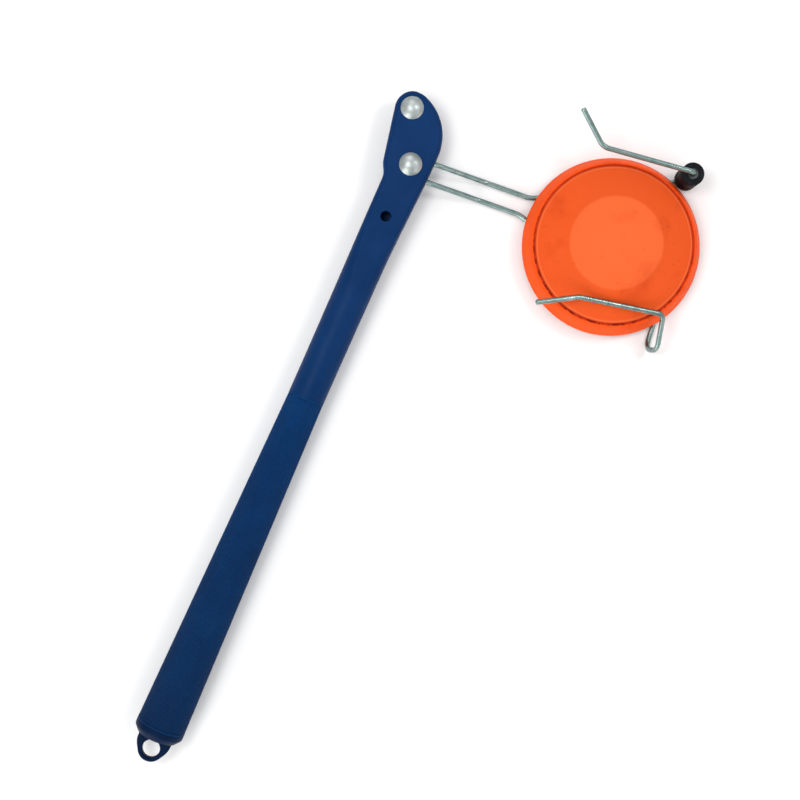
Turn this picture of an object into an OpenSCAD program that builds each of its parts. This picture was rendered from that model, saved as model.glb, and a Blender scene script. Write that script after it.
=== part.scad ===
// Hand thrower for clay targets.
// A two-part moulded handle holds a sprung wire clip on a bolt at its head. The clip carries
// one domed clay target between two under-wires, two fingers, a U bend and a rubber roller.
// The origin is the middle of the hanging hole. +X runs up the handle to the head, the target
// lies on the -Y side, and +Z is the front, where the domed bolt heads are.

/* [Handle] */
// Radius of the grip at its butt end
butt_r = 15.1; // [12.5:0.1:18.5]
// Radius of the handle at its narrowest, where the grip meets the bare shaft
neck_r = 11.1; // [9.2:0.1:13.4]
// Half width of the shaft where it runs into the head
shaft_r = 11.6; // [10:0.1:14]
// Length of the handle from the hanging hole to the pivot bolt
reach = 384; // [320:1:470]
// Length of the knurled grip
grip_len = 217; // [160:1:262]
// Thickness of the knurled grip skin
skin_t = 1.5; // [1:0.1:2]
// Wall thickness of the hollow shaft
wall = 2.6; // [2:0.1:3.5]
// Half thickness of the flat head
head_t = 7; // [5.8:0.1:9]

/* [Head] */
// Place of the upper bolt up the handle from the pivot bolt
top_bolt_x = 31.2; // [26:0.1:40]
// Offset of the upper bolt to the side away from the target
top_bolt_y = 12.7; // [8:0.1:15]
// Width of the head outside the seat of the upper washer
seat_rim = 2.4; // [1.5:0.1:5]
// Distance from the pivot bolt back to the blind spare hole
spare_back = 34.5; // [28:0.1:44]

/* [Fasteners] */
// Radius of the bolt shanks
bolt_r = 3.1; // [2.5:0.1:3.8]
// Radius of the domed bolt heads
bolt_head_r = 7; // [6:0.1:9]
// Height of the domed bolt heads
bolt_head_h = 3.6; // [2.5:0.1:4.5]
// Radius of the blind spare hole
spare_hole_r = 3.2; // [2.5:0.1:4]
// Depth of the spare hole below the mid plane of the handle
spare_deep = 3.8; // [0.5:0.1:4.5]
// Width across the flats of the lock nuts
nut_af = 11.1; // [10:0.1:13]
// Height of the lock nuts
nut_h = 6.9; // [5:0.1:8.5]
// Outer radius of the flat washers
washer_r = 7.9; // [7.5:0.1:9.5]
// Thickness of the flat washers
washer_t = 1.6; // [1:0.1:2]
// Wall of the spacer that the clip turns on
spacer_wall = 0.87; // [0.6:0.01:2]

/* [Wire clip] */
// Radius of the clip wire
wire_r = 1.6; // [1.3:0.05:2]
// Length of the two side by side wires from the pivot bolt to where they part under the target
run_len = 75; // [60:1:95]
// Angle of the straight wires from the handle
run_angle = -85.7; // [-92:0.1:-80]
// Clearance of the upper finger above the target's crown
finger_clear = 1.2; // [0.8:0.1:3]
// Swing of the clip each way when the nuts are loosened
swing = 10; // [4:1:12]

/* [Target] */
// Radius of the clay target
target_r = 54; // [45:0.5:65]
// Height of the clay target
target_h = 28.5; // [23.5:0.5:34.5]
// Width of the target from its rim in to its flat crown
crown_in = 26.2; // [22:0.1:31]
// Wall thickness of the clay target
target_wall = 3.4; // [2.6:0.1:4]

/* [Roller] */
// Radius of the rubber roller
roller_r = 6.9; // [5.5:0.1:8.5]
// Wall of the plastic bush in the roller
bush_wall = 1.52; // [1:0.01:1.9]

/* [Hanging tab] */
// Radius of the hanging hole
hang_r = 5.4; // [4:0.1:6.5]
// Width of the tab round the hanging hole
tab_rim = 2.7; // [1.5:0.1:4]
// Thickness of the hanging tab
tab_t = 5; // [3.5:0.1:8]

/* [Clearances] */
// Radial clearance of anything that turns on a pin or a wire
run_fit = 0.08; // [0.04:0.01:0.1]
// Gap between parts that move past each other
gap = 0.3; // [0.2:0.05:0.5]
// Clearance of a bolt in its hole
bolt_fit = 0.2; // [0.1:0.05:0.4]

/* [Hidden] */
$fn = 48;
eps = 0.01;

// --- places along the handle ---
pivot = [reach, -1];
head_bolt_at = pivot + [top_bolt_x, top_bolt_y];
head_end_r = washer_r + gap + seat_rim;
spare_at = [reach - spare_back, 0];
nose_x = hang_r + 1.1;
butt_x = nose_x + 7.5;
grip_end = butt_x + grip_len;
end_x = head_bolt_at[0] + head_end_r;
rest_z = -butt_r;

// --- head outline: a large arc on the target's side runs tangent into the round end ---
belly = head_bolt_at + [-19, 4.5];
to_end = head_bolt_at - belly;
belly_r = norm(to_end) + head_end_r;
belly_end_x = belly[0] + to_end[0] / norm(to_end) * belly_r;
belly_y = belly[1] - belly_r;
notch_x = reach - 14;
shoulder_x = reach - 4;
// the back of the head is a straight edge tangent to its round end
back_slope = 0.205;
back_end = head_bolt_at + head_end_r * [-sin(atan(back_slope)), cos(atan(back_slope))];

function smooth(t) = t <= 0 ? 0 : t >= 1 ? 1 : t * t * (3 - 2 * t);
function mix(a, b, t) = a + (b - a) * t;
function grip_r(x) = mix(butt_r, neck_r, (x - butt_x) / grip_len);
function shaft_w(x) = mix(neck_r, shaft_r, smooth((x - grip_end) / (notch_x - grip_end)));
function end_w(x) = sqrt(max(0, head_end_r * head_end_r - pow(x - head_bolt_at[0], 2)));
function back_edge(x) = back_end[1] + back_slope * (x - back_end[0]);
function left_edge(x) = x < notch_x ? shaft_w(x)
    : x < shoulder_x ? mix(shaft_w(x), back_edge(x), smooth((x - notch_x) / (shoulder_x - notch_x)))
    : x < back_end[0] ? back_edge(x)
    : head_bolt_at[1] + end_w(x);
function right_edge(x) = x < belly[0]
    ? mix(-shaft_w(x), belly_y, smooth((x - notch_x + 50) / (belly[0] - notch_x + 50)))
    : x < belly_end_x ? belly[1] - sqrt(belly_r * belly_r - pow(x - belly[0], 2))
    : head_bolt_at[1] - end_w(x);

// --- thickness and squareness of the sections, from a round shaft to a flat head ---
flat_from = max(grip_end + 6, reach - 90);
flat_to = reach - 22;
function flatness(x) = smooth((x - flat_from) / (flat_to - flat_from));
function half_t(x) = mix(shaft_w(x), head_t, flatness(x));
function squareness(x) = mix(2, 4.5, flatness(x));
function power(v, p) = sign(v) * pow(abs(v), p);

// One section across the handle at x, from angle a0 to a1, drawn in by inset.
function section(x, inset, a0, a1, count) = [
    for (i = [0 : count])
        let (
            a = mix(a0, a1, i / count),
            l = x < grip_end ? grip_r(x) - skin_t : left_edge(x),
            r = x < grip_end ? skin_t - grip_r(x) : right_edge(x),
            t = x < grip_end ? grip_r(x) - skin_t : half_t(x),
            p = 2 / squareness(x),
            crown = mix(1, 1.1, flatness(x))
        )
        [
            x,
            (l + r) / 2 + ((l - r) / 2 - inset) * power(cos(a), p),
            (t - inset) * max(-1, min(1, crown * power(sin(a), p)))
        ]
];

// A closed skin over a list of rings that all have the same number of points.
module loft(rings) {
    n = len(rings[0]);
    last = len(rings) - 1;
    polyhedron(
        points = [for (ring = rings) each ring],
        faces = concat(
            [[for (j = [0 : n - 1]) j]],
            [[for (j = [n - 1 : -1 : 0]) last * n + j]],
            [for (i = [0 : last - 1], j = [0 : n - 1])
                let (k = (j + 1) % n) [i * n + j, (i + 1) * n + j, (i + 1) * n + k]],
            [for (i = [0 : last - 1], j = [0 : n - 1])
                let (k = (j + 1) % n) [i * n + j, (i + 1) * n + k, i * n + k]]
        )
    );
}

head_span = end_x - back_end[0];
stations = concat(
    [butt_x, mix(butt_x, grip_end, 0.5), grip_end - eps],
    [for (x = [grip_end : (flat_from - grip_end) / 3 : flat_from - eps]) x],
    [for (x = [flat_from : 10 : notch_x - eps]) x],
    [for (x = [notch_x : 2.5 : shoulder_x - eps]) x],
    [for (x = [shoulder_x : 5 : back_end[0] - eps]) x],
    [for (a = [0 : 11.25 : 84]) back_end[0] + head_span * sin(a)],
    [end_x - eps]
);
hollow_from = butt_x + 26;
hollow_to = spare_at[0] - spare_hole_r - 8.3;
hollow_stations = concat(
    [hollow_from, grip_end - 8, grip_end],
    [for (x = [max(grip_end + 3, flat_from - 20) : 12 : hollow_to - eps]) x],
    [hollow_to]
);

// --- the loop of the clip runs round the spacer, which stands on the pivot bolt ---
hole_r = bolt_r + bolt_fit;
spacer_r = hole_r + spacer_wall;
loop_r = spacer_r + run_fit + wire_r;

// --- wire clip in its own frame: u along the straight wires, v up the handle, z front ---
under_z = rest_z + wire_r;
bend_r = 4;
u_bend_r = 7;
finger_bend_r = 9;
// the wires fall from the slot to the level under the target, and drift a little up the handle
fall_from = 17;
fall_to = run_len - 29;
drift = 2.1;
start_bend_r = 6;
foot_bend_r = 10;
part_bend_r = 16;
target_at = [run_len + 1.9 + target_r, -4.4];
seat_z = under_z + wire_r + gap;
crown_z = seat_z + target_h;
finger_z = crown_z + wire_r + finger_clear;
roller_dir = [cos(61.6), sin(61.6)];
roller_at = target_at + (target_r + roller_r + gap) * roller_dir;
roller_z0 = under_z + bend_r + gap;
roller_z1 = finger_z - bend_r - gap;
corner_z = crown_z - 5.9;
press_z = crown_z - 0.9;

// The clip's bends are placed about a standard target. The upper finger moves out with its
// rim, and the lower finger and the U bend move square to the finger's long straight.
standard_r = 54;
grown = target_r - standard_r;
long_straight = [51.4, 7.6];
square_out = [long_straight[1], -long_straight[0]] / norm(long_straight);
function by_rim(x, y) = target_at + [x, y] + grown * [x, y] / norm([x, y]);
function by_straight(x, y) = target_at + [x, y] + grown * square_out;
upper_tip = by_rim(-46, 65.3);
upper_bend = by_rim(-26.9, 50);
leg_at = by_straight(41, -33.7);
corner = by_straight(41.1, -30.1);
press = by_straight(41.1 - long_straight[0], -30.1 - long_straight[1]);
lower_tip = by_straight(-33.7, -49.9);
clip_path = [
    [upper_tip[0], upper_tip[1], finger_z + 9],
    [upper_bend[0], upper_bend[1], finger_z],
    [roller_at[0], roller_at[1], finger_z],
    [roller_at[0], roller_at[1], under_z],
    [run_len + 0.5, loop_r + drift, under_z],
    [fall_to, loop_r + drift, under_z],
    [fall_from, loop_r, 0],
    [-loop_r, loop_r, 0],
    [-loop_r, -loop_r, 0],
    [fall_from, -loop_r, 0],
    [fall_to, -loop_r + drift, under_z],
    [run_len - 3, -loop_r + drift, under_z],
    [leg_at[0], leg_at[1], under_z],
    [leg_at[0] + 0.3, leg_at[1] - 17.8, under_z],
    [leg_at[0] + 4.9, leg_at[1] - 17, under_z + 2.2 * u_bend_r],
    [corner[0], corner[1], corner_z],
    [press[0], press[1], press_z],
    [lower_tip[0], lower_tip[1], press_z + 6.3]
];
clip_bends = [
    0, finger_bend_r, bend_r, bend_r, part_bend_r, foot_bend_r, start_bend_r, loop_r,
    loop_r, start_bend_r, foot_bend_r, part_bend_r, bend_r, u_bend_r, u_bend_r, bend_r,
    finger_bend_r, 0
];

// The sweep of the wire: its sides, the turn between two rings in a bend, and how far it lies
// inside the true round lengths that the roller and the pivot turn on.
wire_sides = 14;
ring_turn = 15;
sweep_inset = 0.02;
// The deburred tips: each ring's place back from the tip and its radius, in wire radii
tip_rings = [[0, 0.6], [0.15, 0.85], [0.5, 1]];

function unit(v) = v / norm(v);
function heading(path, i) = unit(path[i + 1] - path[i]);

// Rings round one corner of a path, each a place and a heading.
function corner_rings(path, bends, i) =
    let (
        a = heading(path, i - 1),
        b = heading(path, i),
        angle = acos(a * b),
        centre = path[i] + unit(b - a) * bends[i] / cos(angle / 2),
        x = unit(path[i] - a * bends[i] * tan(angle / 2) - centre),
        steps = ceil(angle / ring_turn)
    )
    [
        for (k = [0 : steps])
            let (t = angle * k / steps)
            [centre + bends[i] * (x * cos(t) + a * sin(t)), a * cos(t) - x * sin(t), 1]
    ];

function path_rings(path, bends) =
    let (last = len(path) - 1, a = heading(path, 0), b = heading(path, last - 1))
    concat(
        [for (t = tip_rings) [path[0] + a * t[0] * wire_r, a, t[1]]],
        [for (i = [1 : last - 1]) each corner_rings(path, bends, i)],
        [for (k = [len(tip_rings) - 1 : -1 : 0])
            [path[last] - b * tip_rings[k][0] * wire_r, b, tip_rings[k][1]]]
    );

// Leaves out a ring that lies on the one before it.
function apart(rings) = [
    for (i = [0 : len(rings) - 1])
        if (i == 0 || norm(rings[i][0] - rings[i - 1][0]) > eps)
            rings[i]
];

// Carries a direction along the rings without twist, and gives it at each ring.
function carried(rings, i, side) =
    let (square = unit(side - (side * rings[i][1]) * rings[i][1]))
    i == len(rings) - 1 ? [square] : concat([square], carried(rings, i + 1, square));

// A round wire bent through a list of corner points, each with its own bend radius.
module bent_wire(path, bends, r) {
    rings = apart(path_rings(path, bends));
    sides = carried(rings, 0, [0, 0, 1]);
    loft([
        for (i = [0 : len(rings) - 1])
            let (x = sides[i], y = cross(rings[i][1], x))
            [
                for (k = [0 : wire_sides - 1])
                    let (a = 360 * k / wire_sides)
                    rings[i][0] + r * rings[i][2] * (x * cos(a) + y * sin(a))
            ]
    ]);
}

module at_clip() {
    translate([pivot[0], pivot[1], 0])
        rotate([0, 0, run_angle])
            children();
}

// --- fastener stack on each bolt, from the front face down to the bolt's end ---
recess = 1.5;
washer_top = recess - head_t;
nut_top = washer_top - washer_t;
bolt_end = nut_top - nut_h - 1.1;
insert_h = 1.9;
neck_w = 2 * bolt_r;
neck_h = 3.3;
insert_r = nut_af / 2 - 1.3;
spacer_h = head_t - neck_h - gap;
slot_t = wire_r + 0.1;
slot_w = loop_r + wire_r + gap;
slot_relief = 0.2;

module at_bolt(place) {
    translate([place[0], place[1], 0])
        children();
}

// Straight-sided slot in the head where the clip's wires swing about the pivot.
module swing_slot() {
    at_clip() {
        cylinder(h = 2 * slot_t, r = slot_w + slot_relief, center = true);
        for (side = [-1, 1])
            rotate([0, 0, side * swing])
                translate([0, -slot_w, -slot_t])
                    cube([3 * slot_w, 2 * slot_w, 2 * slot_t]);
        translate([0, 0, -slot_t])
            linear_extrude(2 * slot_t)
                polygon([
                    [0, 0],
                    3 * slot_w * [cos(swing), -sin(swing)],
                    3 * slot_w * [1, 0],
                    3 * slot_w * [cos(swing), sin(swing)]
                ]);
    }
}

module bolt_hole(place) {
    at_bolt(place)
        cylinder(h = 4 * butt_r, r = hole_r, center = true);
}

module handle_cuts() {
    loft([for (x = hollow_stations) section(x, wall, 0, 360 - 15, 23)]);
    translate([butt_x - 1, 0, 0])
        rotate([0, 90, 0])
            cylinder(h = hollow_from - butt_x + 2, r = plug_r);
    translate([spare_at[0], spare_at[1], -spare_deep])
        cylinder(h = 2 * butt_r, r = spare_hole_r);
    bolt_hole(pivot);
    bolt_hole(head_bolt_at);
    at_bolt(pivot)
        cylinder(h = 2 * spacer_h, r = spacer_r + eps, center = true);
    swing_slot();
}

module handle_front() {
    color("#1e3e73")
        difference() {
            loft([for (x = stations) section(x, 0, 0, 180, 14)]);
            handle_cuts();
            for (place = [pivot, head_bolt_at])
                at_bolt(place)
                    translate([0, 0, head_t - neck_h / 2 + 1])
                        cube([neck_w + bolt_fit, neck_w + bolt_fit, neck_h + 2], center = true);
        }
}

module handle_back() {
    color("#1e3e73")
        difference() {
            loft([for (x = stations) section(x, 0, 180, 360, 14)]);
            handle_cuts();
            for (place = [pivot, head_bolt_at])
                at_bolt(place)
                    translate([0, 0, washer_top - head_t])
                        cylinder(h = head_t, r = washer_r + gap);
        }
}

module grip_skin() {
    color("#00285a")
        translate([butt_x, 0, 0])
            rotate([0, 90, 0])
                difference() {
                    cylinder(h = grip_len, r1 = butt_r, r2 = neck_r, $fn = 96);
                    translate([0, 0, -eps])
                        cylinder(
                            h = grip_len + 2 * eps,
                            r1 = butt_r - skin_t + 0.02,
                            r2 = neck_r - skin_t + 0.02,
                            $fn = 96
                        );
                }
}

plug_r = butt_r - skin_t - wall - 1;
plug_len = 22;
plug_wall = 2.5;
tab_root = butt_r - 4.7;
tab_r = hang_r + tab_rim;
shoulder_r = 1.5;
module end_plug() {
    color("#003064")
        difference() {
            union() {
                rotate([0, 90, 0])
                    rotate_extrude()
                        polygon([
                            [0, nose_x],
                            [tab_root, butt_x - 7],
                            [butt_r - 1.4, butt_x - 4.8],
                            [butt_r, butt_x - 2.6],
                            [butt_r, butt_x],
                            [plug_r, butt_x],
                            [plug_r, butt_x + plug_len - 1],
                            [plug_r - 1, butt_x + plug_len],
                            [plug_r - plug_wall, butt_x + plug_len],
                            [plug_r - plug_wall, butt_x + 2],
                            [0, butt_x + 2]
                        ]);
                translate([0, 0, -tab_t / 2])
                    linear_extrude(tab_t)
                        hull() {
                            circle(r = tab_r);
                            for (side = [-1, 1])
                                translate([nose_x - 2.2, side * (tab_root - shoulder_r)])
                                    circle(r = shoulder_r);
                            translate([butt_x - 5, -tab_root])
                                square([2, 2 * tab_root]);
                        }
            }
            cylinder(h = 2 * tab_t, r = hang_r, center = true);
        }
}

module carriage_bolt(place) {
    dome_r = (bolt_head_r * bolt_head_r + bolt_head_h * bolt_head_h) / (2 * bolt_head_h);
    color("#c9cdd0")
        at_bolt(place) {
            intersection() {
                translate([0, 0, head_t + bolt_head_h - dome_r])
                    sphere(r = dome_r, $fn = 96);
                translate([0, 0, head_t])
                    cylinder(h = bolt_head_h + 1, r = bolt_head_r + 1);
            }
            translate([0, 0, head_t - neck_h / 2])
                cube([neck_w, neck_w, neck_h], center = true);
            translate([0, 0, bolt_end])
                cylinder(h = head_t - bolt_end, r = bolt_r);
        }
}

module washer(place) {
    color("#b4b8bb")
        at_bolt(place)
            translate([0, 0, nut_top])
                difference() {
                    cylinder(h = washer_t, r = washer_r);
                    translate([0, 0, -1])
                        cylinder(h = washer_t + 2, r = bolt_r + bolt_fit);
                }
}

module lock_nut(place) {
    color("#a9adb0")
        at_bolt(place)
            translate([0, 0, nut_top - nut_h])
                difference() {
                    union() {
                        cylinder(h = insert_h + 0.4, r = insert_r + 0.8);
                        translate([0, 0, insert_h + 0.4 - eps])
                            cylinder(h = nut_h - insert_h - 0.4 + eps, d = nut_af / cos(30), $fn = 6);
                    }
                    translate([0, 0, -1])
                        cylinder(h = nut_h + 2, r = bolt_r);
                    translate([0, 0, -1])
                        cylinder(h = insert_h + 1, r = insert_r);
                }
}

module nut_insert(place) {
    color("#f0efe8")
        at_bolt(place)
            translate([0, 0, nut_top - nut_h])
                difference() {
                    cylinder(h = insert_h, r = insert_r);
                    translate([0, 0, -1])
                        cylinder(h = insert_h + 2, r = bolt_r);
                }
}

module pivot_bolt() {
    carriage_bolt(pivot);
}

module head_bolt() {
    carriage_bolt(head_bolt_at);
}

module pivot_spacer() {
    color("#9aa0a4")
        at_bolt(pivot)
            difference() {
                cylinder(h = 2 * spacer_h, r = spacer_r, center = true);
                cylinder(h = 2 * spacer_h + 2, r = hole_r, center = true);
            }
}

module pivot_washer() {
    washer(pivot);
}

module head_washer() {
    washer(head_bolt_at);
}

module pivot_nut() {
    lock_nut(pivot);
}

module head_nut() {
    lock_nut(head_bolt_at);
}

module pivot_nut_insert() {
    nut_insert(pivot);
}

module head_nut_insert() {
    nut_insert(head_bolt_at);
}

module wire_clip() {
    color("#9fb0ac")
        at_clip() {
            bent_wire(clip_path, clip_bends, wire_r - sweep_inset);
            translate([roller_at[0], roller_at[1], roller_z0])
                cylinder(h = roller_z1 - roller_z0, r = wire_r);
            rotate([0, 0, 90])
                rotate_extrude(angle = 180)
                    translate([loop_r, 0])
                        circle(r = wire_r);
        }
}

bush_r = wire_r + run_fit + bush_wall;

module roller_tyre() {
    tyre_h = roller_z1 - roller_z0;
    edge = 1;
    color("#23282d")
        at_clip()
            translate([roller_at[0], roller_at[1], roller_z0])
                rotate_extrude()
                    polygon([
                        [bush_r, 0],
                        [roller_r - edge, 0],
                        [roller_r, edge],
                        [roller_r, tyre_h - edge],
                        [roller_r - edge, tyre_h],
                        [bush_r, tyre_h]
                    ]);
}

module roller_bush() {
    color("#3a3d40")
        at_clip()
            translate([roller_at[0], roller_at[1], roller_z0 + 0.5])
                difference() {
                    cylinder(h = roller_z1 - roller_z0 - 1, r = bush_r);
                    translate([0, 0, -1])
                        cylinder(h = roller_z1 - roller_z0 + 1, r = wire_r + run_fit);
                }
}

// Half profile of the target: rim, steep skirt, ring groove, sloping shoulder and flat crown.
module clay_target() {
    crown_r = target_r - crown_in;
    w = target_wall;
    color("#ff5f28")
        at_clip()
            translate([target_at[0], target_at[1], seat_z])
                rotate_extrude($fn = 128)
                    polygon([
                        [target_r - 1.5, 0],
                        [target_r, 1.5],
                        [target_r, 4.6],
                        [target_r - 0.8, 6.2],
                        [target_r - 3.6, target_h - 13.9],
                        [target_r - 5.3, target_h - 11.6],
                        [target_r - 5.8, target_h - 12.6],
                        [target_r - 6.8, target_h - 12.6],
                        [target_r - 7.3, target_h - 11.2],
                        [crown_r + 0.9, target_h - 1.2],
                        [crown_r - 0.6, target_h],
                        [0, target_h],
                        [0, target_h - w],
                        [crown_r + 2 - w, target_h - w],
                        [target_r - w - 6.8, target_h - 12.6 - w / 2],
                        [target_r - w - 5, target_h - 15 - w / 2],
                        [target_r - w - 1, 5],
                        [target_r - w - 1, 0]
                    ]);
}

handle_front();
handle_back();
grip_skin();
end_plug();
pivot_bolt();
head_bolt();
pivot_spacer();
pivot_washer();
head_washer();
pivot_nut();
head_nut();
pivot_nut_insert();
head_nut_insert();
wire_clip();
roller_tyre();
roller_bush();
clay_target();
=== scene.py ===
import math

import bmesh
import bpy
from mathutils import Matrix, Vector


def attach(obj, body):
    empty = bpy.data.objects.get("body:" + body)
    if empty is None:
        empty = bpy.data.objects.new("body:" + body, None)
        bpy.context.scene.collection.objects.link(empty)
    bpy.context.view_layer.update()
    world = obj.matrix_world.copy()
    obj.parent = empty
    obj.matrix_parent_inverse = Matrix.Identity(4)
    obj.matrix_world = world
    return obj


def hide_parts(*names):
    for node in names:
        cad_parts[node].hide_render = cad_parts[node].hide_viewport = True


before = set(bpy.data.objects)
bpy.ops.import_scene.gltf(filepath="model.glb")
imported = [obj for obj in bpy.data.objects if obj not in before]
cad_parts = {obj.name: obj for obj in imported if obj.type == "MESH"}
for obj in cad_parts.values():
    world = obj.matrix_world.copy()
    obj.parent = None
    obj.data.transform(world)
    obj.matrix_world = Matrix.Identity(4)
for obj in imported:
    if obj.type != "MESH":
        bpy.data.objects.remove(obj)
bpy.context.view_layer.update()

# ------------------------------------------------------------------------------------------
# Handle halves. The handle is a navy moulded plastic shell in two halves that meet on the mid
# plane. It is round where it is held and flattens to a plate at the head. Two bolts at the
# head and the end plug at the butt hold the halves together. Sizes are in mm, and are
# multiplied by mm where Blender takes metres.

mm = 0.001
tiny = 0.000001  # in metres: points closer than this are one point
grip_from, grip_to = 14.0, 231.0
butt_r, neck_r, shaft_top_r, skin_t = 15.1, 11.1, 11.6, 1.5
pivot_x, pivot_y = 384, -1  # the lower bolt, which the clip turns on
upper_x, upper_y = 415.2, 11.7  # the upper bolt, in the middle of the head's round end
head_t, flat_from, flat_length = 7, 294, 68
lip_from, lip_length = 421.6, 4.2
# the back edge leaves the shaft, runs up a straight slope and meets the round end
back_from, back_ease, back_to = 370, 10, 413.07
back_top, back_slope, back_end_r = 22.08, 0.205, 10.59
# the belly edge leaves the shaft, turns back on a wide arc and meets the round end
belly_from, belly_ease, belly_turn, belly_to = 320, 76.2, 396.2, 425.52
belly_low, belly_mid, belly_r, belly_end_r = -13.93, 16.2, 30.126, 10.6


def mix(a, b, t):
    return a + (b - a) * t


def ease(t):
    t = min(max(t, 0.0), 1.0)
    return t * t * (3 - 2 * t)


def grip_radius(x):
    return mix(butt_r, neck_r, (x - grip_from) / (grip_to - grip_from))


def shaft_radius(x):
    return mix(neck_r, shaft_top_r, ease((x - grip_to) / (back_from - grip_to)))


def back_edge(x):
    slope = back_top + back_slope * (x - back_to)
    if x < back_from + back_ease:
        return mix(shaft_radius(x), slope, ease((x - back_from) / back_ease))
    if x < back_to:
        return slope
    return upper_y + math.sqrt(max(0, back_end_r**2 - (x - upper_x) ** 2))


def belly_edge(x):
    if x < belly_turn:
        return mix(-shaft_radius(x), belly_low, ease((x - belly_from) / belly_ease))
    if x < belly_to:
        return belly_mid - math.sqrt(belly_r**2 - (x - belly_turn) ** 2)
    return upper_y - math.sqrt(max(0, belly_end_r**2 - (x - upper_x) ** 2))


def handle_point(x, turn):
    """The point at angle turn of the handle's section at x, from a round shaft to a flat head."""
    flat = ease((x - flat_from) / flat_length)
    if x < grip_to:
        left, right, thick = [grip_radius(x) - skin_t] * 3
        right = -right
    else:
        left, right = back_edge(x), belly_edge(x)
        thick = mix(shaft_radius(x), head_t, flat)
        # the round end thins to a soft lip
        lip = min(1, max(0, (x - lip_from) / lip_length))
        thick *= mix(0.45, 1, (1 - lip**2.6) ** 0.42)
    # a circle where it is round, and a rounded block at the head
    power = 2 / mix(2, 4.5, flat)
    across = math.copysign(abs(math.cos(turn)) ** power, math.cos(turn))
    up = math.copysign(abs(math.sin(turn)) ** power, math.sin(turn))
    up = min(1, max(-1, up * mix(1, 1.1, flat)))
    y = (left + right) / 2 + (left - right) / 2 * across
    return Vector((x, y, thick * up)) * mm


def only(piece):
    bpy.ops.object.select_all(action="DESELECT")
    piece.select_set(True)
    bpy.context.view_layer.objects.active = piece


def named(name):
    piece = bpy.context.object
    piece.name = name
    piece.data.name = name
    return piece


bpy.ops.object.select_all(action="DESELECT")
bpy.ops.mesh.primitive_circle_add(vertices=72, radius=1, fill_type="NGON")
handle_shape = named("handle_shape")
turns = handle_shape.data.attributes.new("turn", "FLOAT", "POINT")
for i, vert in enumerate(handle_shape.data.vertices):
    turns.data[i].value = math.atan2(vert.co.y, vert.co.x)
    vert.co = handle_point(grip_from + 0.05, turns.data[i].value)

# sections up the handle, closer together where its outline turns
stations = [120, 230.9, 231.0]
stations += [231 + 9 * i for i in range(1, 8)]
stations += [294 + 2.5 * i for i in range(1, 31)]
stations += [369 + 1.25 * i for i in range(1, 10)]
stations += [380.5 + 2.5 * i for i in range(0, 13)]
stations += [back_to + 12.73 * math.sin(math.radians(a)) for a in range(0, 88, 5)]


def face_out():
    """Turns all faces outwards and leaves edit mode."""
    bpy.ops.mesh.select_all(action="SELECT")
    bpy.ops.mesh.normals_make_consistent(inside=False)
    bpy.ops.object.mode_set(mode="OBJECT")


bpy.ops.object.mode_set(mode="EDIT")
bpy.ops.mesh.select_all(action="SELECT")
for x in stations:
    bpy.ops.mesh.extrude_region_move(TRANSFORM_OT_translate={"value": (mm, 0, 0)})
    shape = bmesh.from_edit_mesh(handle_shape.data)
    layer = shape.verts.layers.float["turn"]
    for vert in shape.verts:
        if vert.select:
            vert.co = handle_point(x, vert[layer])
face_out()
handle_shape.data.attributes.remove(handle_shape.data.attributes["turn"])


def copy_of(piece, name):
    twin = piece.copy()
    twin.data = piece.data.copy()
    twin.name = name
    twin.data.name = name
    bpy.context.collection.objects.link(twin)
    return twin


def turned(name, profile, steps, place=(0, 0, 0), along="Z", hollow=False):
    """A piece turned on a lathe. The profile is (radius, height) pairs, from one end of the
    axis to the other, or round a hollow piece's wall."""
    bpy.ops.object.select_all(action="DESELECT")
    bpy.ops.mesh.primitive_circle_add(vertices=len(profile), radius=mm)
    piece = named(name)
    for vert, (r, h) in zip(piece.data.vertices, profile):
        vert.co = Vector((h, r, 0) if along == "X" else (r, 0, h)) * mm
    axis = (1, 0, 0) if along == "X" else (0, 0, 1)
    bpy.ops.object.mode_set(mode="EDIT")
    shape = bmesh.from_edit_mesh(piece.data)
    if not hollow:
        last = len(profile) - 1
        bpy.ops.mesh.select_mode(type="EDGE")
        bpy.ops.mesh.select_all(action="DESELECT")
        for edge in shape.edges:
            edge.select_set({v.index for v in edge.verts} == {0, last})
        bpy.ops.mesh.delete(type="EDGE")
    bpy.ops.mesh.select_all(action="SELECT")
    bpy.ops.mesh.spin(steps=steps, angle=math.tau, center=(0, 0, 0), axis=axis)
    bpy.ops.mesh.select_all(action="SELECT")
    bpy.ops.mesh.remove_doubles(threshold=tiny)
    bpy.ops.mesh.dissolve_degenerate(threshold=tiny)
    face_out()
    piece.data.transform(Matrix.Translation(Vector(place) * mm))
    return piece


def combine(piece, other, how):
    only(piece)
    change = piece.modifiers.new(how, "BOOLEAN")
    change.operation = how
    change.object = other
    change.solver = "EXACT"
    bpy.ops.object.modifier_apply(modifier=change.name)


def smooth_by_angle(piece, degrees):
    only(piece)
    bpy.ops.object.shade_smooth_by_angle(angle=math.radians(degrees))


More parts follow.
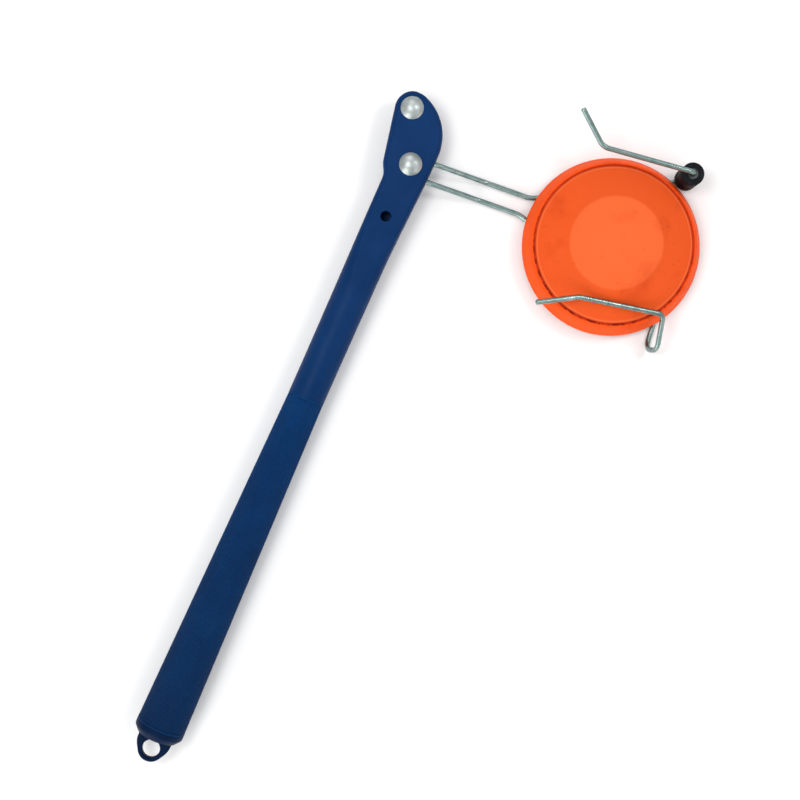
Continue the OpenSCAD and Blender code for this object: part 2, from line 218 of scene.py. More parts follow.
# the cutters: the blind spare hole with a soft rim, the clip's slot and the two washer seats
spare_x, slot_r, slot_t = 349.5, 7.95, 3.4
clip_turn = math.radians(-85.7)  # from the handle's line to the clip's
spare_cut = turned(
    "spare_cut",
    [(0, -3.8), (2.9, -3.8), (3.2, -3.5), (3.2, 6.9), (3.25, 7.3), (3.4, 7.6), (3.7, 7.9),
     (3.7, 12), (0, 12)],
    48, place=(spare_x, 0, 0),
)
bpy.ops.object.select_all(action="DESELECT")
bpy.ops.mesh.primitive_cylinder_add(vertices=64, radius=slot_r * mm, depth=slot_t * mm)
slot_cut = named("slot_cut")
for vert in slot_cut.data.vertices:
    # round behind the pivot, and flared where the clip swings out of the head
    if vert.co.x > 0.0001:
        vert.co.y *= 1.53
        vert.co.x = 0.024
to_pivot = Matrix.Translation((pivot_x * mm, pivot_y * mm, 0))
slot_cut.data.transform(to_pivot @ Matrix.Rotation(clip_turn, 4, "Z"))
seat_profile = [
    (0, -12), (8.8, -12), (8.8, -7.6), (8.35, -7.0), (8.2, -6.8), (8.2, -5.5), (0, -5.5),
]
pivot_seat_cut = turned("pivot_seat_cut", seat_profile, 64, place=(pivot_x, pivot_y, 0))
upper_seat_cut = turned("upper_seat_cut", seat_profile, 64, place=(upper_x, upper_y, 0))

handle_front_half = copy_of(handle_shape, "handle_front_half")
handle_back_half = copy_of(handle_shape, "handle_back_half")
for half, side in ((handle_front_half, 1), (handle_back_half, -1)):
    only(half)
    bpy.ops.object.mode_set(mode="EDIT")
    bpy.ops.mesh.select_all(action="SELECT")
    bpy.ops.mesh.bisect(
        plane_co=(0, 0, 0), plane_no=(0, 0, side), use_fill=True, clear_inner=True
    )
    # a fine chamfer along the joint, so that the parting line shows
    bpy.ops.mesh.select_mode(type="EDGE")
    bpy.ops.mesh.select_all(action="DESELECT")
    shape = bmesh.from_edit_mesh(half.data)
    for edge in shape.edges:
        flat = all(abs(v.co.z) < tiny for v in edge.verts)
        turned_out = any(abs(f.normal.z) < 0.7 for f in edge.link_faces)
        edge.select_set(flat and turned_out)
    bpy.ops.mesh.bevel(offset=0.0002, segments=1, affect="EDGES", clamp_overlap=True)
    face_out()
    combine(half, spare_cut, "DIFFERENCE")
    combine(half, slot_cut, "DIFFERENCE")
combine(handle_back_half, pivot_seat_cut, "DIFFERENCE")
combine(handle_back_half, upper_seat_cut, "DIFFERENCE")
for tool in (handle_shape, spare_cut, slot_cut, pivot_seat_cut, upper_seat_cut):
    bpy.data.objects.remove(tool)
for half in (handle_front_half, handle_back_half):
    smooth_by_angle(half, 32)


def new_material(name):
    """A node material, with the nodes, links, shader and coordinates to build it with."""
    material = bpy.data.materials.new(name)
    material.use_nodes = True
    tree = material.node_tree
    coords = tree.nodes.new("ShaderNodeTexCoord").outputs["Object"]
    return material, tree.nodes, tree.links, tree.nodes["Principled BSDF"], coords


def noise(nodes, links, coords, scale, detail=4.0, rough=0.55):
    texture = nodes.new("ShaderNodeTexNoise")
    texture.inputs["Scale"].default_value = scale
    texture.inputs["Detail"].default_value = detail
    texture.inputs["Roughness"].default_value = rough
    links.new(coords, texture.inputs["Vector"])
    return texture.outputs["Fac"]


def ramp(nodes, links, value, stops):
    band = nodes.new("ShaderNodeValToRGB")
    while len(band.color_ramp.elements) < len(stops):
        band.color_ramp.elements.new(0.5)
    for element, (place, colour) in zip(band.color_ramp.elements, stops):
        element.position = place
        element.color = (*colour, 1)
    links.new(value, band.inputs["Fac"])
    return band.outputs["Color"]


def spread(nodes, links, value, low, high, start=0.3, end=0.7):
    span = nodes.new("ShaderNodeMapRange")
    span.inputs["From Min"].default_value = start
    span.inputs["From Max"].default_value = end
    span.inputs["To Min"].default_value = low
    span.inputs["To Max"].default_value = high
    links.new(value, span.inputs["Value"])
    return span.outputs["Result"]


def blend_colour(nodes, links, how, amount, first, second):
    both = nodes.new("ShaderNodeMix")
    both.data_type = "RGBA"
    both.blend_type = how
    fill = ((both.inputs[0], amount), (both.inputs[6], first), (both.inputs[7], second))
    for socket, value in fill:
        if isinstance(value, bpy.types.NodeSocket):
            links.new(value, socket)
        else:
            socket.default_value = value if isinstance(value, float) else (*value, 1)
    return both.outputs[2]


def bump(nodes, links, shader, height, strength, distance):
    relief = nodes.new("ShaderNodeBump")
    relief.inputs["Strength"].default_value = strength
    relief.inputs["Distance"].default_value = distance
    links.new(height, relief.inputs["Height"])
    links.new(relief.outputs["Normal"], shader.inputs["Normal"])


def darker_to_butt(nodes, links, coords, colour, depth, start, end):
    """Darkens a colour toward the butt end."""
    parts = nodes.new("ShaderNodeSeparateXYZ")
    links.new(coords, parts.inputs[0])
    toward_head = spread(nodes, links, parts.outputs["X"], 0, 1, start=start, end=end)
    butt_darkening = ramp(nodes, links, toward_head, [(0.0, (depth, depth, depth)), (1.0, (1, 1, 1))])
    return blend_colour(nodes, links, "MULTIPLY", 1.0, colour, butt_darkening)


# navy plastic: faint clouding in the colour, a fine moulded grain and thin handling scratches
navy, nodes, links, shader, coords = new_material("navy_plastic")
cloud = noise(nodes, links, coords, 45)
body = ramp(nodes, links, cloud, [(0.3, (0.0012, 0.0225, 0.09)), (0.7, (0.003, 0.029, 0.112))])
body = darker_to_butt(nodes, links, coords, body, depth=0.4, start=0.02, end=0.24)
stretch = nodes.new("ShaderNodeMapping")
stretch.inputs["Scale"].default_value = (60, 900, 900)
stretch.inputs["Rotation"].default_value = (0, 0, 0.35)
links.new(coords, stretch.inputs["Vector"])
scratch = noise(nodes, links, stretch.outputs["Vector"], 1.0, detail=2)
mark = spread(nodes, links, scratch, 0.0, 0.22, start=0.66, end=0.74)
links.new(
    blend_colour(nodes, links, "MIX", mark, body, (0.02, 0.055, 0.15)), shader.inputs["Base Color"]
)
sheen = noise(nodes, links, coords, 160)
links.new(spread(nodes, links, sheen, 0.38, 0.5), shader.inputs["Roughness"])
grain = noise(nodes, links, coords, 2600, detail=2)
bump(nodes, links, shader, grain, 0.25, 0.00006)
shader.inputs["Specular IOR Level"].default_value = 0.06
for half, cad in ((handle_front_half, "handle_front"), (handle_back_half, "handle_back")):
    half.data.materials.append(navy)
    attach(half, "handle")
    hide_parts(cad)

# ------------------------------------------------------------------------------------------
# Grip skin. A navy vinyl sleeve is shrunk over the lower half of the handle. It is knurled
# with rows of small raised diamonds, with a plain band at each end.

round_count, row_count = 46, 124
knurl_from, knurl_to, knurl_depth, band_rise = 16.0, 229.6, 0.32, 0.4
bpy.ops.object.select_all(action="DESELECT")
bpy.ops.mesh.primitive_grid_add(x_subdivisions=row_count, y_subdivisions=round_count, size=1)
grip = named("knurled_grip")
for vert in grip.data.vertices:
    x = mix(knurl_from, knurl_to, vert.co.x + 0.5)
    turn = -vert.co.y * math.tau
    r = grip_radius(x) - knurl_depth
    vert.co = Vector((x, r * math.cos(turn), r * math.sin(turn))) * mm
bpy.ops.object.mode_set(mode="EDIT")
bpy.ops.mesh.select_all(action="SELECT")
bpy.ops.mesh.remove_doubles(threshold=tiny)
bpy.ops.mesh.normals_make_consistent(inside=False)
corner_count = len(bmesh.from_edit_mesh(grip.data).verts)
bpy.ops.mesh.poke(offset=0)
bpy.ops.mesh.select_mode(type="EDGE")
bpy.ops.mesh.select_all(action="DESELECT")
shape = bmesh.from_edit_mesh(grip.data)
shape.verts.index_update()
for edge in shape.edges:
    old = all(v.index < corner_count for v in edge.verts)
    edge.select_set(old and not edge.is_boundary)
bpy.ops.mesh.dissolve_edges(use_verts=False, use_face_split=False)
bpy.ops.mesh.select_all(action="SELECT")
bpy.ops.mesh.poke(offset=knurl_depth * mm, use_relative_offset=False)


def ring_to(mesh_object, x, r):
    """Puts the selected ring of the sleeve at x and r."""
    shape = bmesh.from_edit_mesh(mesh_object.data)
    for vert in shape.verts:
        if vert.select:
            out = Vector((0, vert.co.y, vert.co.z)).normalized()
            vert.co = Vector((x, 0, 0)) * mm + out * r * mm
    bmesh.update_edit_mesh(mesh_object.data)


for start, rings in (
    (knurl_from, [(15.9, 0.0), (14.3, 0.0), (14.0, -0.3), (14.0, -skin_t)]),
    (knurl_to, [(229.7, 0.0), (230.7, 0.0), (231.0, -0.25), (231.0, -skin_t)]),
):
    bpy.ops.mesh.select_all(action="DESELECT")
    shape = bmesh.from_edit_mesh(grip.data)
    for edge in shape.edges:
        near = all(abs(v.co.x - start * mm) < 0.00005 for v in edge.verts)
        edge.select_set(near and edge.is_boundary)
    for x, lift in rings:
        bpy.ops.mesh.extrude_region_move(TRANSFORM_OT_translate={"value": (0, 0, 0)})
        ring_to(grip, x, grip_radius(x) + lift)
bpy.ops.mesh.select_all(action="DESELECT")
shape = bmesh.from_edit_mesh(grip.data)
for edge in shape.edges:
    edge.select_set(edge.is_boundary)
bpy.ops.mesh.bridge_edge_loops()
face_out()
# how high each point stands: 0 in the grooves, 1 on the tips, and between on the plain bands
peaks = grip.data.attributes.new("peak", "FLOAT", "POINT")
for i, vert in enumerate(grip.data.vertices):
    floor_r = grip_radius(vert.co.x / mm) - knurl_depth
    rise = (math.hypot(vert.co.y, vert.co.z) / mm - floor_r) / knurl_depth
    if not knurl_from - 0.05 < vert.co.x / mm < knurl_to + 0.05:
        rise = band_rise
    peaks.data[i].value = min(1, max(0, rise))
smooth_by_angle(grip, 12)

# navy vinyl: a little duller than the shell, rubbed lighter in patches and on the diamonds' tips,
# and darkened by painted shade in the grooves between them
vinyl, nodes, links, shader, coords = new_material("navy_vinyl")
rubbed = noise(nodes, links, coords, 38, detail=6)
body = ramp(
    nodes, links, rubbed,
    [(0.28, (0.001, 0.05, 0.19)), (0.55, (0.002, 0.063, 0.232)), (0.8, (0.004, 0.078, 0.265))],
)
body = darker_to_butt(nodes, links, coords, body, depth=0.6, start=0.0, end=0.19)
peak = nodes.new("ShaderNodeAttribute")
peak.attribute_name = "peak"
# the colour follows each point's height: painted shade darkens the grooves between the diamonds,
# the plain bands are set part way, and the tips keep the full colour
groove_shade_and_tip_wear = ramp(
    nodes, links, peak.outputs["Fac"],
    [(0.0, (0.3, 0.32, 0.34)), (0.55, (0.62, 0.62, 0.62)), (1.0, (1, 1, 1))],
)
body = blend_colour(nodes, links, "MULTIPLY", 1.0, body, groove_shade_and_tip_wear)
speckle = noise(nodes, links, coords, 700, detail=2)
links.new(
    blend_colour(
        nodes, links, "MULTIPLY", 0.5, body,
        ramp(nodes, links, speckle, [(0.35, (0.62, 0.66, 0.72)), (0.65, (1, 1, 1))]),
    ),
    shader.inputs["Base Color"],
)
links.new(spread(nodes, links, rubbed, 0.46, 0.6), shader.inputs["Roughness"])
bump(nodes, links, shader, noise(nodes, links, coords, 3000, detail=2), 0.2, 0.00005)
shader.inputs["Specular IOR Level"].default_value = 0.06
grip.data.materials.append(vinyl)
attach(grip, "handle")
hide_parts("grip_skin")

# ------------------------------------------------------------------------------------------
# End plug. A domed plug of the same navy plastic is pressed and glued into the butt, and
# carries a flat hanging tab with a round hole, moulded in one piece with it.

plug_profile = [
    (0, 6.5), (8.4, 6.7), (10.6, 7.1), (12.0, 7.6), (12.5, 8.1), (13.5, 9.3), (14.5, 10.5),
    (14.95, 11.2), (15.1, 11.9), (15.1, 13.85), (15.0, 13.95), (10, 14), (10, 35), (9, 36), (0, 36),
]
plug = turned("end_plug_body", plug_profile, 96, along="X")
bpy.ops.object.select_all(action="DESELECT")
tab_r, tab_t = 8.05, 5
root_x, root_y, flank_x, flank_y = 10.5, 10.4, -3.6, 7.2
bpy.ops.mesh.primitive_cylinder_add(vertices=120, radius=tab_r * mm, depth=tab_t * mm)
tab = named("tab_shape")
for vert in tab.data.vertices:
    turn = math.atan2(vert.co.y, vert.co.x)
    degrees = abs(math.degrees(turn))
    # the root is square, the flanks bulge out to it, and the rest stays round
    if degrees < 30:
        vert.co.x, vert.co.y = root_x * mm, root_y * mm * turn / math.radians(30)
    elif degrees < 116.6:
        x = mix(root_x, flank_x, (degrees - 30) / 86.6)
        bulge = math.sin(min(1, (x - flank_x) / 8) * math.pi / 2)
        vert.co.x = x * mm
        vert.co.y = math.copysign(mix(flank_y, root_y, bulge) * mm, turn)
bpy.ops.object.mode_set(mode="EDIT")
bpy.ops.mesh.select_mode(type="EDGE")
bpy.ops.mesh.select_all(action="DESELECT")
shape = bmesh.from_edit_mesh(tab.data)
for edge in shape.edges:
    level = abs(edge.verts[0].co.z - edge.verts[1].co.z) < tiny
    edge.select_set(level and min(v.co.x for v in edge.verts) < 0.0104)
bpy.ops.mesh.bevel(offset=0.0009, segments=4, affect="EDGES")
bpy.ops.object.mode_set(mode="OBJECT")
tab_hole = turned(
    "tab_hole",
    [(0, -4), (6.6, -4), (6.6, -3.0), (6.1, -2.45), (5.65, -2.15), (5.45, -1.8), (5.4, -1.4),
     (5.4, 1.4), (5.45, 1.8), (5.65, 2.15), (6.1, 2.45), (6.6, 3.0), (6.6, 4), (0, 4)],
    72,
)
combine(plug, tab, "UNION")
combine(plug, tab_hole, "DIFFERENCE")
bpy.data.objects.remove(tab)
bpy.data.objects.remove(tab_hole)
smooth_by_angle(plug, 32)
plug.data.materials.append(navy)
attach(plug, "handle")
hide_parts("end_plug")

# ------------------------------------------------------------------------------------------
# Bolts, washers and lock nuts. Two zinc plated carriage bolts go through the head from the
# front, each with a smooth domed head, and take a washer and a nylon insert lock nut behind.
# The lower bolt also carries the steel spacer that the clip's loop turns on.

dome_r, dome_top, shank_r = 8.7, 10.6, 3.1
across_flats = 11.1
bolt_profile = [(0, dome_top)]
for degrees in range(4, 49, 4):
    turn = math.radians(degrees)
    bolt_profile.append((dome_r * math.sin(turn), dome_top - dome_r * (1 - math.cos(turn))))
bolt_profile += [(6.8, 7.55), (6.95, 7.35), (7.0, 7.12), (6.92, 7.0), (shank_r, 7.0)]
bolt_profile += [(shank_r, -13.7), (2.65, -13.95), (3.08, -14.2), (2.65, -14.45), (3.06, -14.7)]
bolt_profile += [(2.7, -14.9), (2.3, -15.1), (0, -15.1)]
pivot_screw = turned("pivot_bolt_body", bolt_profile, 72, place=(pivot_x, pivot_y, 0))

washer_profile = [
    (3.3, -7.1), (7.75, -7.1), (7.9, -6.9), (7.9, -5.75), (7.7, -5.5), (3.3, -5.5),
]
pivot_ring = turned(
    "pivot_washer_ring", washer_profile, 72, place=(pivot_x, pivot_y, 0), hollow=True
)

nut_profile = [
    (shank_r, -7.1), (5.7, -7.1), (6.42, -7.55), (6.42, -11.0), (5.6, -11.7), (5.1, -11.75),
    (5.05, -13.3), (4.85, -13.8), (4.6, -14.0), (4.25, -14.0), (4.25, -12.1), (shank_r, -12.1),
]
pivot_lock = turned("pivot_lock_nut", nut_profile, 96, hollow=True)
bpy.ops.object.select_all(action="DESELECT")
bpy.ops.mesh.primitive_cylinder_add(
    vertices=6, radius=across_flats / 2 / math.cos(math.radians(30)) * mm, depth=8 * mm,
    location=(0, 0, -0.0105),
)
flats = named("nut_flats")
bpy.ops.object.transform_apply(location=True, rotation=False, scale=False)
combine(pivot_lock, flats, "INTERSECT")
bpy.data.objects.remove(flats)
pivot_lock.data.transform(to_pivot)

to_upper = Matrix.Translation(((upper_x - pivot_x) * mm, (upper_y - pivot_y) * mm, 0))
upper_screw = copy_of(pivot_screw, "head_bolt_body")
upper_ring = copy_of(pivot_ring, "head_washer_ring")
upper_lock = copy_of(pivot_lock, "head_lock_nut")
for twin in (upper_screw, upper_ring, upper_lock):
    twin.data.transform(to_upper)

# bright zinc: a soft sheen with faint cloudy tarnish and fine tumbling marks
zinc, nodes, links, shader, coords = new_material("bright_zinc")
tarnish = noise(nodes, links, coords, 170, detail=5)
links.new(
    ramp(
        nodes, links, tarnish,
        [(0.3, (0.3, 0.345, 0.335)), (0.5, (0.43, 0.475, 0.47)), (0.7, (0.55, 0.59, 0.585))],
    ),
    shader.inputs["Base Color"],
)
links.new(spread(nodes, links, tarnish, 0.5, 0.38), shader.inputs["Roughness"])
bump(nodes, links, shader, noise(nodes, links, coords, 1500, detail=3), 0.12, 0.00005)
shader.inputs["Metallic"].default_value = 1.0
for piece, cad in (
    (pivot_screw, "pivot_bolt"), (upper_screw, "head_bolt"),
    (pivot_ring, "pivot_washer"), (upper_ring, "head_washer"),
    (pivot_lock, "pivot_nut"), (upper_lock, "head_nut"),
):
    smooth_by_angle(piece, 32)
    piece.data.materials.append(zinc)
    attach(piece, "handle")
    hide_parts(cad)


def repaint(node, material):
    """Gives a CAD node whose shape is right its detailed material."""
    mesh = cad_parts[node].data
    mesh.materials.clear()
    mesh.materials.append(material)


repaint("pivot_spacer", zinc)

# natural nylon inserts: milky, waxy, with a faint turned grain
nylon, nodes, links, shader, coords = new_material("natural_nylon")
milky = noise(nodes, links, coords, 600)
links.new(
    ramp(nodes, links, milky, [(0.3, (0.66, 0.65, 0.58)), (0.7, (0.82, 0.81, 0.76))]),
    shader.inputs["Base Color"],
)
links.new(spread(nodes, links, milky, 0.35, 0.5), shader.inputs["Roughness"])
bump(nodes, links, shader, noise(nodes, links, coords, 2600), 0.15, 0.00004)
repaint("pivot_nut_insert", nylon)
repaint("head_nut_insert", nylon)

# ------------------------------------------------------------------------------------------
# Wire clip. One length of 3.2 mm zinc coated spring wire is bent cold. It loops round the
# pivot spacer, runs out side by side under the target, and turns up into the roller's leg on
# one side and the U bend on the other. A finger comes back over the target from each.

wire_r, leg_x, leg_y, under_z = 1.585, 160.008, 49.435, -13.5
arc_step = math.radians(6)
# corners of the bent wire as (along the run, up the handle, height) and the bend's radius
wire_corners = [
    ((84.9, 60.9, 28.62), 0), ((104.0, 45.6, 19.7), 9), ((leg_x, leg_y, 19.7), 4),
    ((leg_x, leg_y, under_z), 4), ((75.5, 7.95, under_z), 16), ((46.0, 7.95, under_z), 10),
    ((17.0, 5.85, 0.0), 6), ((-5.85, 5.85, 0.0), 5.85), ((-5.85, -5.85, 0.0), 5.85),
    ((17.0, -5.85, 0.0), 6), ((46.0, -3.75, under_z), 10), ((72.0, -3.75, under_z), 16),
    ((171.9, -38.1, under_z), 4), ((172.2, -55.9, under_z), 7), ((176.8, -55.1, 1.9), 7),
    ((172.0, -34.5, 11.0), 4), ((120.6, -42.1, 16.0), 9), ((97.2, -54.3, 22.3), 0),
]
to_row = Matrix.Translation((pivot_x, pivot_y, 0)) @ Matrix.Rotation(clip_turn, 4, "Z")


def bend(before, corner, after, radius):
    """Points of the arc that rounds a corner."""
    a, b = (corner - before).normalized(), (after - corner).normalized()
    turn = a.angle(b)
    centre = corner + (b - a).normalized() * (radius / math.cos(turn / 2))
    out = (corner - a * radius * math.tan(turn / 2) - centre).normalized()
    count = max(2, math.ceil(turn / arc_step))
    return [
        centre + (out * math.cos(turn * i / count) + a * math.sin(turn * i / count)) * radius
        for i in range(count + 1)
    ]


places = [Vector(corner[0]) for corner in wire_corners]
first, last = places[0], places[-1]
lead, tail = (places[1] - first).normalized(), (last - places[-2]).normalized()
# (point, share of the wire's radius): the cut ends are deburred
wire_line = [(first, 0.55), (first + lead * 0.12, 0.78), (first + lead * 0.4, 0.95)]
wire_line += [(first + lead, 1)]
for i in range(1, len(places) - 1):
    arc = bend(places[i - 1], places[i], places[i + 1], wire_corners[i][1])
    wire_line += [(p, 1) for p in arc if (p - wire_line[-1][0]).length > 0.02]
wire_line += [(last - tail, 1), (last - tail * 0.4, 0.95), (last - tail * 0.12, 0.78), (last, 0.55)]

bpy.ops.object.select_all(action="DESELECT")
bpy.ops.curve.primitive_bezier_curve_add()
wire = bpy.context.object
wire.data.splines.clear()
line = wire.data.splines.new("POLY")
line.points.add(len(wire_line) - 1)
for point, (place, share) in zip(line.points, wire_line):
    point.co = (*(to_row @ place * mm), 1)
    point.radius = share
wire.data.dimensions = "3D"
wire.data.twist_mode = "MINIMUM"
wire.data.bevel_depth = wire_r * mm
wire.data.bevel_resolution = 5
wire.data.use_fill_caps = True
bpy.ops.object.convert(target="MESH")
wire = named("bent_wire")
bpy.ops.object.mode_set(mode="EDIT")
bpy.ops.mesh.select_all(action="SELECT")
bpy.ops.mesh.remove_doubles(threshold=tiny)
face_out()
smooth_by_angle(wire, 40)

# zinc coated spring wire: dull grey with a green cast, cloudy, with fine die lines
wire_zinc, nodes, links, shader, coords = new_material("zinc_coated_wire")
cloudy = noise(nodes, links, coords, 140, detail=6, rough=0.6)
links.new(
    ramp(
        nodes, links, cloudy,
        [(0.3, (0.14, 0.205, 0.195)), (0.5, (0.215, 0.3, 0.285)), (0.72, (0.34, 0.42, 0.405))],
    ),
    shader.inputs["Base Color"],
)
links.new(spread(nodes, links, cloudy, 0.36, 0.24), shader.inputs["Roughness"])
bump(nodes, links, shader, noise(nodes, links, coords, 1900, detail=3), 0.14, 0.00005)
shader.inputs["Metallic"].default_value = 1.0
wire.data.materials.append(wire_zinc)
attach(wire, "clip")
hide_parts("wire_clip")

# ------------------------------------------------------------------------------------------
# Roller. A black moulded rubber drum with rounded edges and a faint mould line turns on a
# plastic bush on the upright leg of the wire, and gives the target its grip and spin.

drum_r = 6.89
roller_profile = [(3.2, -9.2), (5.6, -9.2), (6.3, -8.95), (6.75, -8.4), (drum_r, -7.7)]
roller_profile += [(drum_r, 2.9), (6.83, 3.0), (6.83, 3.2), (drum_r, 3.3)]
roller_profile += [(drum_r, 13.9), (6.75, 14.6), (6.3, 15.15), (5.6, 15.4), (4.1, 15.4)]
roller_profile += [(3.9, 15.2), (3.2, 15.2)]
roller_place = to_row @ Vector((leg_x, leg_y, 0))
roller = turned("rubber_drum", roller_profile, 72, place=roller_place, hollow=True)
smooth_by_angle(roller, 32)
rubber, nodes, links, shader, coords = new_material("black_rubber")
dusty = noise(nodes, links, coords, 220, detail=6)
links.new(
    ramp(
        nodes, links, dusty,
        [(0.35, (0.005, 0.0065, 0.008)), (0.6, (0.01, 0.0125, 0.015)), (0.8, (0.022, 0.026, 0.03))],
    ),
    shader.inputs["Base Color"],
)
links.new(spread(nodes, links, dusty, 0.48, 0.66), shader.inputs["Roughness"])
bump(nodes, links, shader, noise(nodes, links, coords, 2200, detail=3), 0.35, 0.00006)
shader.inputs["Specular IOR Level"].default_value = 0.06
roller.data.materials.append(rubber)
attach(roller, "roller")
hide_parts("roller_tyre")

# the bush: black acetal, semi gloss, with faint turning marks
acetal, nodes, links, shader, coords = new_material("black_acetal")
faint = noise(nodes, links, coords, 500)
links.new(
    ramp(nodes, links, faint, [(0.3, (0.018, 0.018, 0.019)), (0.7, (0.034, 0.034, 0.036))]),
    shader.inputs["Base Color"],
)
links.new(spread(nodes, links, faint, 0.22, 0.34), shader.inputs["Roughness"])
bump(nodes, links, shader, noise(nodes, links, coords, 2400), 0.1, 0.00004)
repaint("roller_bush", acetal)

# ------------------------------------------------------------------------------------------
# Clay target. A pressed pitch and limestone saucer with a tall rim, a groove with fine teeth
# and a flat raised crown. It is sprayed matt orange from above, and bare pitch below.

target_place = to_row @ Vector((130.9, -4.4, -11.6))
target_profile = [
    (0, 28.5), (12, 28.5), (24.6, 28.5), (26.0, 28.48), (27.0, 28.38), (27.8, 28.0),
    (28.7, 27.3), (33, 24.95), (38, 22.18), (43, 19.4), (46.3, 17.6), (46.85, 17.15),
    (47.15, 16.4), (47.3, 15.95), (48.1, 15.95), (48.3, 16.4), (48.6, 16.8), (49.1, 16.75),
    (49.7, 16.0), (50.4, 14.6), (51.7, 10.6), (53.0, 6.7), (53.5, 5.7), (53.9, 4.9), (53.98, 4.2),
    (53.98, 1.6), (53.8, 0.7), (53.3, 0.2), (52.5, 0), (49.6, 0), (49.6, 5), (45.6, 11.8),
    (43.8, 14.2), (26.4, 25.1), (0, 25.1),
]
target = turned("domed_target", target_profile, 180, place=target_place)

# fine teeth: every other wall of the groove, each 2 degrees wide, is pushed out
only(target)
bpy.ops.object.mode_set(mode="EDIT")
bpy.ops.mesh.select_mode(type="FACE")
bpy.ops.mesh.select_all(action="DESELECT")
shape = bmesh.from_edit_mesh(target.data)
centre = Vector((target_place.x, target_place.y, 0)) * mm
for face in shape.faces:
    middle = face.calc_center_median() - centre
    r = math.hypot(middle.x, middle.y) / mm
    step = math.floor(math.degrees(math.atan2(middle.y, middle.x)) / 2)
    high = middle.z / mm - target_place.z
    face.select_set(48.1 < r < 48.62 and high > 16 and step % 2 == 0)
bpy.ops.mesh.extrude_faces_move(TRANSFORM_OT_shrink_fatten={"value": 0.00035})
bpy.ops.object.mode_set(mode="OBJECT")
smooth_by_angle(target, 30)

# matt orange spray: the crown is paler, the groove is darkened with painted shade and its inner lip
# carries a thin painted highlight, and handling has left smudges
spray, nodes, links, shader, coords = new_material("orange_spray")
centred = nodes.new("ShaderNodeMapping")
centred.inputs["Location"].default_value = (-centre.x, -centre.y, 0)
centred.inputs["Scale"].default_value = (1, 1, 0)
links.new(coords, centred.inputs["Vector"])
from_axis = nodes.new("ShaderNodeVectorMath")
from_axis.operation = "LENGTH"
links.new(centred.outputs["Vector"], from_axis.inputs[0])
across = spread(nodes, links, from_axis.outputs["Value"], 0, 1, start=0, end=0.054)
# out from the centre: the crown paler than the shoulder, a painted highlight line on the groove's
# inner lip, painted shade darkening the groove, then the rim
rings = ramp(
    nodes, links, across,
    [
        (0.0, (0.78, 0.122, 0.03)), (0.505, (0.77, 0.118, 0.028)), (0.53, (0.73, 0.089, 0.015)),
        (0.842, (0.72, 0.084, 0.013)), (0.856, (0.8, 0.14, 0.04)), (0.868, (0.7, 0.08, 0.014)),
        (0.879, (0.54, 0.045, 0.011)), (0.89, (0.6, 0.052, 0.01)), (0.9, (0.85, 0.078, 0.006)),
        (0.97, (0.88, 0.09, 0.007)), (1.0, (0.86, 0.084, 0.007)),
    ],
)
# the teeth show short dark dashes, partly chipped paint and partly painted shade, strongest on the
# side away from the roller and from the small light over the target
tooth_band = ramp(
    nodes, links, across,
    [(0.872, (0, 0, 0)), (0.878, (1, 1, 1)), (0.898, (1, 1, 1)), (0.903, (0, 0, 0))],
)
tooth_dash_noise = noise(nodes, links, coords, 330, detail=3)
dashes = ramp(nodes, links, tooth_dash_noise, [(0.5, (0, 0, 0)), (0.56, (1, 1, 1))])
# painted shade: the dashes grow stronger on the side turned away from the small light over the
# target
away_from_light_dot = nodes.new("ShaderNodeVectorMath")
away_from_light_dot.operation = "DOT_PRODUCT"
away_from_light_dot.inputs[1].default_value = (-18.5, -2.5, 0)
links.new(centred.outputs["Vector"], away_from_light_dot.inputs[0])
shaded_side_weight = spread(nodes, links, away_from_light_dot.outputs["Value"], 0.12, 0.95, start=-0.4, end=0.7)
tooth_dashes = blend_colour(nodes, links, "MULTIPLY", 1.0, tooth_band, dashes)
chips_and_painted_shade = nodes.new("ShaderNodeMath")
chips_and_painted_shade.operation = "MULTIPLY"
links.new(tooth_dashes, chips_and_painted_shade.inputs[0])
links.new(shaded_side_weight, chips_and_painted_shade.inputs[1])
rings = blend_colour(nodes, links, "MIX", chips_and_painted_shade.outputs[0], rings, (0.26, 0.013, 0.006))
smudge = noise(nodes, links, coords, 34, detail=8, rough=0.62)
smudged = blend_colour(
    nodes, links, "MULTIPLY", 0.75, rings,
    ramp(nodes, links, smudge, [(0.28, (0.8, 0.66, 0.62)), (0.46, (1, 1, 1))]),
)
fleck = noise(nodes, links, coords, 420, detail=5)
flecked = blend_colour(
    nodes, links, "MULTIPLY", 0.6, smudged,
    ramp(nodes, links, fleck, [(0.27, (0.72, 0.6, 0.55)), (0.36, (1, 1, 1))]),
)
links.new(flecked, shader.inputs["Base Color"])
links.new(spread(nodes, links, smudge, 0.62, 0.5), shader.inputs["Roughness"])
bump(nodes, links, shader, noise(nodes, links, coords, 1100, detail=4), 0.22, 0.00008)
shader.inputs["Specular IOR Level"].default_value = 0.07
target.data.materials.append(spray)

# bare pitch under the target, pressed black and gritty
pitch, nodes, links, shader, coords = new_material("bare_pitch")
grit = noise(nodes, links, coords, 520, detail=6)
links.new(
    ramp(
        nodes, links, grit,
        [(0.35, (0.012, 0.011, 0.01)), (0.6, (0.028, 0.025, 0.022)), (0.75, (0.09, 0.05, 0.035))],
    ),
    shader.inputs["Base Color"],
)
links.new(spread(nodes, links, grit, 0.5, 0.75), shader.inputs["Roughness"])
bump(nodes, links, shader, grit, 0.4, 0.00012)
target.data.materials.append(pitch)
for face in target.data.polygons:
    middle = face.center - centre
    r = math.hypot(middle.x, middle.y) / mm
    face.material_index = 1 if face.normal.z < -0.05 and r < 50 else 0
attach(target, "target")
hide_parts("clay_target")

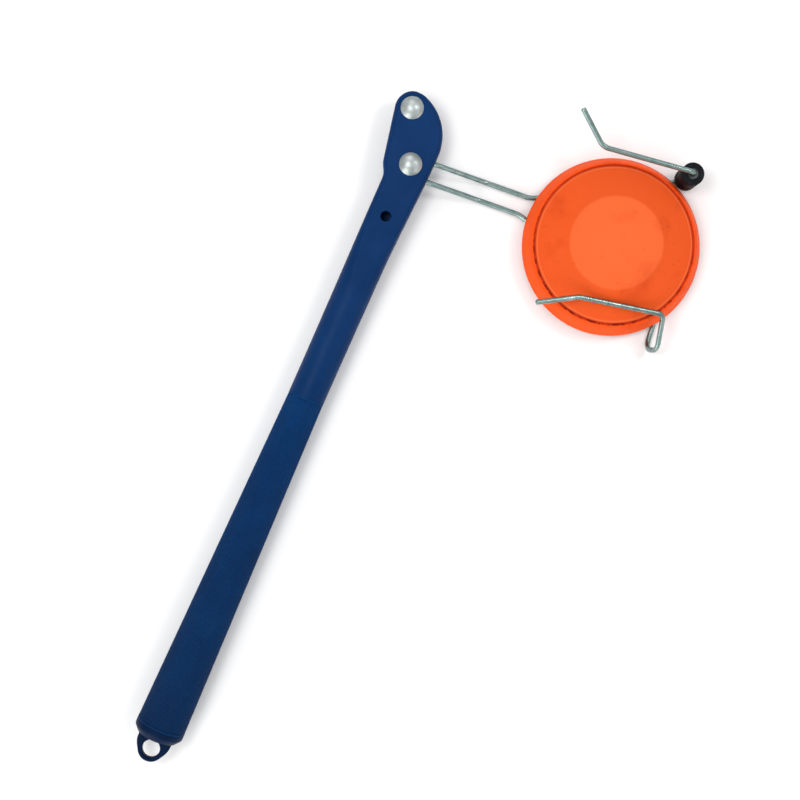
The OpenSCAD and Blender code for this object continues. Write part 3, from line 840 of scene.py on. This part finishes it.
# ------------------------------------------------------------------------------------------
# Studio. A plain white table under the object, a small soft light over the target and one
# over the handle, broad panels low down round them, and the camera straight above.

bpy.ops.object.select_all(action="DESELECT")
table_z = -0.01516
bpy.ops.mesh.primitive_plane_add(size=8, location=(0.25, -0.05, table_z))
floor = named("white_table")
bpy.ops.object.transform_apply(location=True, rotation=False, scale=False)
table, nodes, links, shader, coords = new_material("white_table_paint")
links.new(
    ramp(
        nodes, links, noise(nodes, links, coords, 6),
        [(0.3, (0.88, 0.88, 0.885)), (0.7, (0.9, 0.9, 0.9))],
    ),
    shader.inputs["Base Color"],
)
shader.inputs["Roughness"].default_value = 0.7
shader.inputs["Specular IOR Level"].default_value = 0.2
floor.data.materials.append(table)

lit_place = Vector((0.28, -0.06, 0))
for name, place, size, power in (
    ("target_side_light", (0.713, -0.383, 0.7), 0.22, 1.4),
    ("handle_side_light", (0.2, 0.34, 1.15), 0.45, 4.8),
    ("butt_side_panel", (-1.08, 0.255, 0.6), 1.1, 9),
    ("target_end_panel", (-0.01, -1.33, 0.75), 1.3, 3.5),
    ("head_end_panel", (1.4, 0.6, 1.0), 1.2, 4),
):
    lamp = bpy.data.lights.new(name, "AREA")
    lamp.shape = "DISK"
    lamp.size = size
    lamp.energy = power
    lamp_object = bpy.data.objects.new(name, lamp)
    lamp_object.location = place
    aim = lit_place - Vector(place)
    lamp_object.rotation_euler = aim.to_track_quat("-Z", "Y").to_euler()
    bpy.context.collection.objects.link(lamp_object)

world = bpy.data.worlds.new("studio_air")
bpy.context.scene.world = world
world.use_nodes = True
world.node_tree.nodes["Background"].inputs["Color"].default_value = (1, 1, 1, 1)
world.node_tree.nodes["Background"].inputs["Strength"].default_value = 0.62
bpy.context.scene.view_settings.view_transform = "Standard"

lens = bpy.data.cameras.new("camera")
lens.lens = 63.97
lens.sensor_width = 36
lens.clip_start = 0.01
camera = bpy.data.objects.new("camera", lens)
camera.location = (0.25241, -0.05226, 0.8571)
camera.rotation_euler = (0, 0, math.radians(-66.135))
bpy.context.collection.objects.link(camera)
bpy.context.scene.camera = camera
